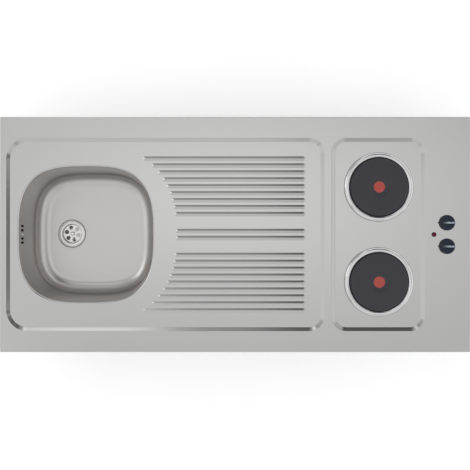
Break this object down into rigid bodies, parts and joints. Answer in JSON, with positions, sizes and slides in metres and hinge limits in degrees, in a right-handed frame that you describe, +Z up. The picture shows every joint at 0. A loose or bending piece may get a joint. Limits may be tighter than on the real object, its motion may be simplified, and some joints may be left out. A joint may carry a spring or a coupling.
{
  "type": "kitchenette worktop",
  "caption": "Sit-on stainless steel kitchenette top with a pressed bowl, ribbed drainer, electric hotplates in chrome rings, pointer knobs, waste, overflow and an under-hob pan.",
  "frame": {"origin": "middle of the footprint, on the plane of the return flanges that rest on the cabinet", "axes": "+X to the right along the worktop from sink to hob, +Y to the rear, +Z up"},
  "size_m": [1.2, 0.6, 0.2386],
  "materials": {
    "deck_steel": "fine satin",
    "bowl_steel": "satin",
    "bright_steel": "polished",
    "plated_steel": "zinc plated",
    "plate_iron": "machined, with a painted red centre",
    "knob_plastic": "gloss",
    "lamp_red": "clear red",
    "white_plastic": "moulded",
    "grey_plastic": "moulded",
    "black_plastic": "moulded",
    "block_ceramic": "unglazed",
    "black_rubber": "plain",
    "sound_padding": "bitumen"
  },
  "bodies": {
    "unit": {"deck": "deck_steel", "bowl": "bowl_steel", "bowl_sound_pad": "sound_padding", "stiffener_front": "plated_steel", "stiffener_rear": "plated_steel", "cross_member": "plated_steel", "waste_strainer": "bright_steel", "waste_screw": "bright_steel", "waste_seal": "black_rubber", "waste_body": "white_plastic", "overflow_seal": "black_rubber", "overflow_head": "black_plastic", "overflow_screw": "bright_steel", "overflow_hose": "grey_plastic", "hose_nut_top": "white_plastic", "hose_nut_bottom": "white_plastic", "hotplate_rear": "plate_iron", "spill_ring_rear": "bright_steel", "ring_seal_rear": "black_rubber", "coil_cover_rear": "plated_steel", "clamp_bridge_rear": "plated_steel", "clamp_nut_rear": "plated_steel", "terminal_block_rear": "block_ceramic", "switch_body_rear": "white_plastic", "shaft_gasket_rear": "black_rubber", "switch_screw_rear_1": "plated_steel", "switch_screw_rear_2": "plated_steel", "hotplate_front": "plate_iron", "spill_ring_front": "bright_steel", "ring_seal_front": "black_rubber", "coil_cover_front": "plated_steel", "clamp_bridge_front": "plated_steel", "clamp_nut_front": "plated_steel", "terminal_block_front": "block_ceramic", "switch_body_front": "white_plastic", "shaft_gasket_front": "black_rubber", "switch_screw_front_1": "plated_steel", "switch_screw_front_2": "plated_steel", "lamp_body": "black_plastic", "lamp_lens": "lamp_red", "lamp_nut": "plated_steel", "hob_pan": "plated_steel", "pan_nut_left_front": "plated_steel", "pan_nut_left_rear": "plated_steel", "pan_nut_right_front": "plated_steel", "pan_nut_right_rear": "plated_steel", "mains_terminal": "white_plastic", "cable_gland": "grey_plastic", "gland_nut": "grey_plastic", "element_lead_rear": "black_rubber", "element_lead_front": "black_rubber", "supply_lead": "black_rubber", "link_lead": "black_rubber"},
    "knob_rear": {"knob_rear": "knob_plastic", "switch_shaft_rear": "plated_steel"},
    "knob_front": {"knob_front": "knob_plastic", "switch_shaft_front": "plated_steel"}
  },
  "joints": [
    {"name": "knob_rear_turn", "type": "hinge", "parent": "unit", "child": "knob_rear", "pos_m": [0.54, 0.03, 0.045], "axis": [0, 0, 1], "continuous": true},
    {"name": "knob_front_turn", "type": "hinge", "parent": "unit", "child": "knob_front", "pos_m": [0.54, -0.03, 0.045], "axis": [0, 0, 1], "continuous": true}
  ]
}
